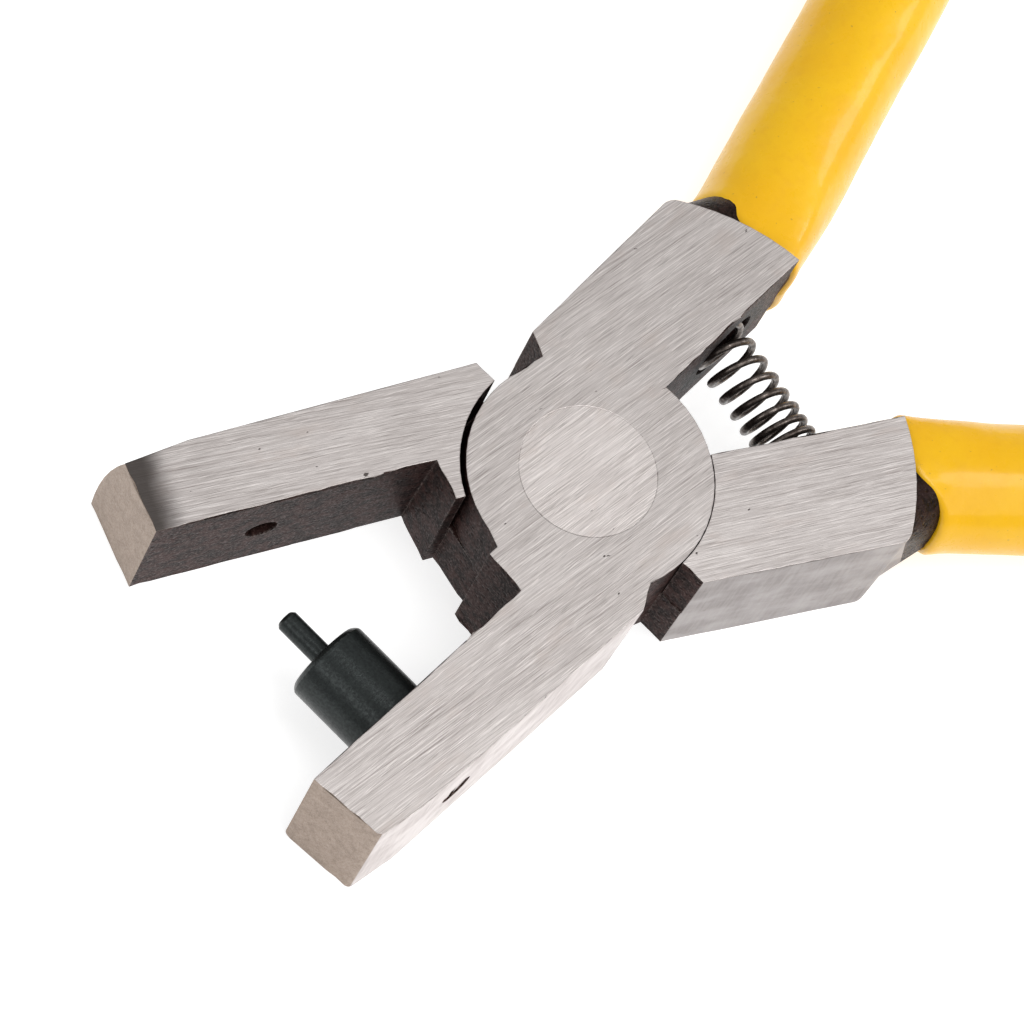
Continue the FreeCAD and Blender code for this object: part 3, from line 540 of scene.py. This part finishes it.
# ---------------------------------------------------------------- grips
# sizes in mm and places in a lever's own frame
GRIP_RAD = 4.75
MOUTH = Vector((-26.3, -5.85))   # start of the handle's centre line
SPLAY = math.radians(17)         # turn of the handle at the mouth
STRAIGHT = 33.0                  # length of its straight part
BOW_RAD = 168.0                  # radius of the slow bow past that
SPLAY_END = math.radians(-2)     # turn at its end
HANDLE_LENGTH = STRAIGHT + BOW_RAD * (SPLAY - SPLAY_END)
RING = 72            # points round the grip
RING_GAP = 1.1       # spacing of the rings along it
FIRST_RING = 2.2     # first plain ring, past the rim
END_RINGS = 8        # rings of the rounded end
END_LENGTH = 0.92    # length of the rounded end, as a share of the radius
RIM_SHADE_BANDS = 3       # bands of faces at the mouth, on the rolled-in side of the lip, that carry the painted rim shade
# rim of the dip along the handle, by angle from the outer side over the top to the inner side
RIM = {
    PUNCH: [(0, -0.9), (25, -0.75), (42, -0.85), (55, -1.3), (66, -2.1), (78, -2.75), (120, -3.0),
            (150, -3.1), (180, -3.4)],
    DIE: [(0, -0.4), (25, -0.3), (42, -0.35), (55, -0.8), (66, -1.5), (78, -2.4), (95, -2.9), (120, -3.0),
          (150, -3.1), (180, -3.3)],
}
# rolled lip: distance from the rim, and how far the skin stands off the grip's radius
LIP = [(0.7, -1.15), (0.25, -0.95), (0.02, -0.62), (-0.02, -0.3), (0.12, -0.02), (0.4, 0.12), (0.8, 0.1),
       (1.4, 0.03)]


def rim_at(lever, angle):
    """Where the dip starts along the handle, smoothly between the listed angles."""
    turned = math.degrees(abs(angle))
    points = RIM[lever]
    at = max(i for i in range(len(points) - 1) if points[i][0] <= turned)
    before, low, high, after = (points[max(0, min(len(points) - 1, at + k))] for k in (-1, 0, 1, 2))
    wide = high[0] - low[0]
    rise_low = (high[1] - before[1]) / (high[0] - before[0]) * wide
    rise_high = (after[1] - low[1]) / (after[0] - low[0]) * wide
    t = (turned - low[0]) / wide
    return (low[1] * (1 + 2 * t) * (1 - t) ** 2 + rise_low * t * (1 - t) ** 2
            + high[1] * t * t * (3 - 2 * t) + rise_high * t * t * (t - 1))


def handle_point(along):
    """Centre line of the handle and its inward normal, along mm past the mouth."""
    angle = SPLAY
    centre = MOUTH.copy()
    straight = min(along, STRAIGHT)
    centre -= Vector((math.cos(SPLAY), math.sin(SPLAY))) * straight
    past = along - STRAIGHT
    if past > 0:
        angle = max(SPLAY - past / BOW_RAD, SPLAY_END)
        centre.x -= BOW_RAD * (math.sin(SPLAY) - math.sin(angle))
        centre.y -= BOW_RAD * (math.cos(angle) - math.cos(SPLAY))
    beyond = along - HANDLE_LENGTH
    if beyond > 0:
        centre -= Vector((math.cos(SPLAY_END), math.sin(SPLAY_END))) * beyond
    return centre, Vector((-math.sin(angle), math.cos(angle)))


def grip_radius(angle, along, seed):
    """Radius of the dipped skin, squarer on the inner side near the mouth."""
    fade = max(0.0, 1 - max(along + 3.5, 0) / 9.0) ** 1.5
    inner = max(0.0, -math.cos(angle))
    power = 2 + 3.0 * fade * inner ** 0.5
    shape = (abs(math.cos(angle)) ** power + abs(math.sin(angle)) ** power) ** (-1 / power)
    shape *= 1 + inner * (0.02 - 0.13 * fade)
    wave = noise.noise(Vector((along * 0.09, math.cos(angle) * 1.1 + seed, math.sin(angle) * 1.1)))
    dimple = noise.noise(Vector((along * 0.35 + seed, math.cos(angle) * 2.4, math.sin(angle) * 2.4)))
    return GRIP_RAD * shape + 0.10 * wave + 0.05 * dimple


def make_grip(lever, finish, rim_shade_finish, seed):
    shape = bmesh.new()
    angles = [2 * math.pi * i / RING - math.pi for i in range(RING)]
    rings = []

    def add_ring(offset_of, radius_of):
        ring = []
        for angle in angles:
            along = offset_of(angle)
            centre, inward = handle_point(along)
            radius = radius_of(angle, along)
            side = -math.cos(angle) * radius
            place = (centre.x + inward.x * side, centre.y + inward.y * side, MID + math.sin(angle) * radius)
            ring.append(shape.verts.new(placed(lever, *place)))
        rings.append(ring)

    for step, stand_off in LIP:
        add_ring(lambda a, s=step: rim_at(lever, a) + s,
                 lambda a, d, o=stand_off: grip_radius(a, d, seed) + o)
    first, last = FIRST_RING, HANDLE_LENGTH
    count = int((last - first) / RING_GAP)
    for i in range(count + 1):
        share = i / count
        add_ring(lambda a, t=share: rim_at(lever, a) * (1 - min(1, t * 8)) + first + (last - first) * t,
                 lambda a, d: grip_radius(a, d, seed))
    for i in range(1, END_RINGS + 1):
        turn = math.pi / 2 * i / (END_RINGS + 1)
        add_ring(lambda a, t=turn: last + GRIP_RAD * END_LENGTH * math.sin(t),
                 lambda a, d, t=turn: grip_radius(a, last, seed) * math.cos(t) ** 0.9)
    bridge(shape, rings)
    shape.faces.new(rings[-1])
    bmesh.ops.recalc_face_normals(shape, faces=shape.faces)
    piece = as_object(shape, lever + "_grip_dip")
    piece.data.materials.append(finish)
    piece.data.materials.append(rim_shade_finish)
    # the first bands, inside the lip at the mouth, take the painted shade of the crevice against the steel
    for face in piece.data.polygons[:RIM_SHADE_BANDS * RING]:
        face.material_index = 1
    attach(piece, BODY[lever])
    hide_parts(lever + "_grip")


# ---------------------------------------------------------------- spring
# sizes in mm
SPRING_X = -17.0       # the coil's axis, parallel to Y
COIL_RAD = 2.05
WIRE_RAD = 0.29
SPRING_SPAN = 13.3     # from the centre of the wire at one end to the other
TURNS = 11.7
CLOSED_TURNS = 1.0     # flat turns at each end
START_ANGLE = 0.6      # where the wire's first end points, radians
WOBBLE = 0.05          # how far the coil's radius wanders
PITCH_SWING = 0.16     # makes the free pitch fall from 1.32 to 0.68 of its mean
PER_TURN = 30
WIRE_SIDES = 12


def spring_height(turn):
    """Height of the wire above the coil's first end: flat turns, then a slowly tightening pitch."""
    flat_pitch = 2.1 * WIRE_RAD
    free_turns = TURNS - 2 * CLOSED_TURNS
    free_span = SPRING_SPAN - 2 * CLOSED_TURNS * flat_pitch
    if turn < CLOSED_TURNS:
        return turn * flat_pitch
    if turn > TURNS - CLOSED_TURNS:
        return SPRING_SPAN - (TURNS - turn) * flat_pitch
    share = (turn - CLOSED_TURNS) / free_turns
    share += PITCH_SWING * math.sin(math.pi * share) / math.pi * 2
    return CLOSED_TURNS * flat_pitch + free_span * share


def make_spring(finish):
    shape = bmesh.new()
    count = int(TURNS * PER_TURN)
    path = []
    for i in range(count + 1):
        turn = i / PER_TURN
        angle = 2 * math.pi * turn + START_ANGLE
        wobble = WOBBLE * noise.noise(Vector((turn * 0.9, 3, 1)))
        radius = COIL_RAD + wobble
        y = spring_height(turn) - SPRING_SPAN / 2
        path.append(Vector((SPRING_X + radius * math.cos(angle), y, MID + radius * math.sin(angle))) * MM)
    rings = []
    for i, point in enumerate(path):
        ahead = path[min(i + 1, count)] - path[max(i - 1, 0)]
        ahead.normalize()
        outward = Vector((point.x - SPRING_X * MM, 0, point.z - MID * MM))
        outward = (outward - ahead * outward.dot(ahead)).normalized()
        third = ahead.cross(outward)
        taper = min(1.0, 0.55 + 0.25 * min(i, count - i))
        ring = []
        for k in range(WIRE_SIDES):
            turn = 2 * math.pi * k / WIRE_SIDES
            offset = (outward * math.cos(turn) + third * math.sin(turn)) * WIRE_RAD * taper * MM
            ring.append(shape.verts.new(point + offset))
        rings.append(ring)
    bridge(shape, rings)
    shape.faces.new(rings[0])
    shape.faces.new(rings[-1])
    bmesh.ops.recalc_face_normals(shape, faces=shape.faces)
    piece = as_object(shape, "return_spring_coil")
    piece.data.materials.append(finish)
    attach(piece, "punch_side")
    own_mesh(piece)
    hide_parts("return_spring")


# ---------------------------------------------------------------- small turned parts
def make_turned(node, name, width, finish):
    piece = edged_copy(node, name, width)
    piece.data.materials.clear()
    piece.data.materials.append(finish)
    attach(piece, "punch_side")
    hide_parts(node)


# ---------------------------------------------------------------- studio
def make_floor():
    half = 1.6
    mesh = bpy.data.meshes.new("floor")
    mesh.from_pydata([(-half, -half, 0), (half, -half, 0), (half, half, 0), (-half, half, 0)], [],
                     [(0, 1, 2, 3)])
    mesh.materials.append(pale_floor())
    floor = bpy.data.objects.new("floor", mesh)
    floor.location.z = -0.02 * MM
    bpy.context.collection.objects.link(floor)


def soft_box(name, direction, distance, width, height, power):
    data = bpy.data.lights.new(name, "AREA")
    data.shape = "RECTANGLE"
    data.size = width
    data.size_y = height
    data.energy = power
    lamp = bpy.data.objects.new(name, data)
    toward = Vector(direction).normalized()
    lamp.location = toward * distance
    lamp.rotation_euler = toward.to_track_quat("Z", "Y").to_euler()
    bpy.context.collection.objects.link(lamp)


def make_lights():
    world = bpy.data.worlds.new("studio")
    bpy.context.scene.world = world
    world.use_nodes = True
    world.node_tree.nodes["Background"].inputs["Color"].default_value = (1, 1, 1, 1)
    world.node_tree.nodes["Background"].inputs["Strength"].default_value = 0.52
    soft_box("key", (-0.16, 0.20, 0.97), 0.8, 0.38, 0.38, 1.95)
    soft_box("left", (-0.73, 0.35, 0.59), 0.7, 0.2, 0.5, 1.3)
    soft_box("side", (-0.10, 0.74, 0.67), 0.7, 0.3, 0.45, 0.7)
    soft_box("kicker", (0.70, 0.03, 0.71), 0.7, 0.2, 0.3, 0.4)


def make_camera():
    """The photograph's viewpoint: 63 degrees above the tool's face, long lens."""
    azimuth, elevation, roll = math.radians(119.0), math.radians(63.0), math.radians(30.13)
    back = Vector((math.sin(azimuth) * math.cos(elevation),
                   -math.cos(azimuth) * math.cos(elevation),
                   math.sin(elevation)))
    side = Vector((math.cos(azimuth), math.sin(azimuth), 0))
    up = back.cross(side)
    right = side * math.cos(roll) + up * math.sin(roll)
    over = back.cross(right)
    distance, leftward, downward = 285.714 * MM, 5.331 * MM, 2.843 * MM
    pivot = Vector((0, 0, THICK * MM))
    eye = pivot + back * distance - right * leftward - over * downward
    data = bpy.data.cameras.new("camera")
    data.sensor_width = 36
    data.lens = 144.14
    data.clip_start = 0.01
    camera = bpy.data.objects.new("camera", data)
    camera.matrix_world = Matrix((
        (right.x, over.x, back.x, eye.x),
        (right.y, over.y, back.y, eye.y),
        (right.z, over.z, back.z, eye.z),
        (0, 0, 0, 1)))
    bpy.context.collection.objects.link(camera)
    bpy.context.scene.camera = camera


# ---------------------------------------------------------------- build
jaw_end = sawn_steel()
# the spring seats, round which the scale gets painted shade
seats = [placed(lever, SEAT_X, SEAT_FACE_Y, MID) for lever in (PUNCH, DIE)]
scale_skin = forge_scale("forge_scale", 1.0, 0.5, 0.03, shade_points=seats)
tang_skin = forge_scale("tang_skin", 0.5, 0.32, 0.09)
GRAIN_PUNCH = math.radians(7)
GRAIN_DIE = math.radians(-16)
# The levers' outer sides share one finish: the punch lever's is lightened (tone 1.3) as painted light and
# the die lever's darkened (tone 0.66) as painted shade, for the way light falls on each.
make_lever(PUNCH, [ground_steel("ground_punch", GRAIN_PUNCH, 1.2), side_steel("side_punch_painted_light", 1.3), jaw_end,
                   scale_skin, tang_skin])
make_lever(DIE, [ground_steel("ground_die", GRAIN_DIE, 1.22, jaw_dark_band=(-HALF_OPEN, 28.4, 30.9)),
                 side_steel("side_die_painted_shade", 0.66), jaw_end, scale_skin, tang_skin])
oxide = black_oxide()
rivet_steel = ground_steel("ground_rivet", GRAIN_PUNCH, 1.4, edge=0.05)
make_turned("pivot_rivet", "pivot_rivet_head", 0.03, rivet_steel)
make_turned("punch_holder", "punch_holder_body", 0.16, oxide)
make_turned("punch_pin", "punch_pin_body", 0.06, oxide)
make_turned("punch_screw", "punch_screw_head", 0.06, rivet_steel)
make_spring(spring_wire())
yellow = dipped_plastic()
# painted shade for the crevice where the grips' dip meets the steel
rim_shade_material = dip_rim_painted_shade()
make_grip(PUNCH, yellow, rim_shade_material, 1.7)
make_grip(DIE, yellow, rim_shade_material, 8.3)
make_floor()
make_lights()
make_camera()
bpy.context.scene.view_settings.view_transform = "Standard"
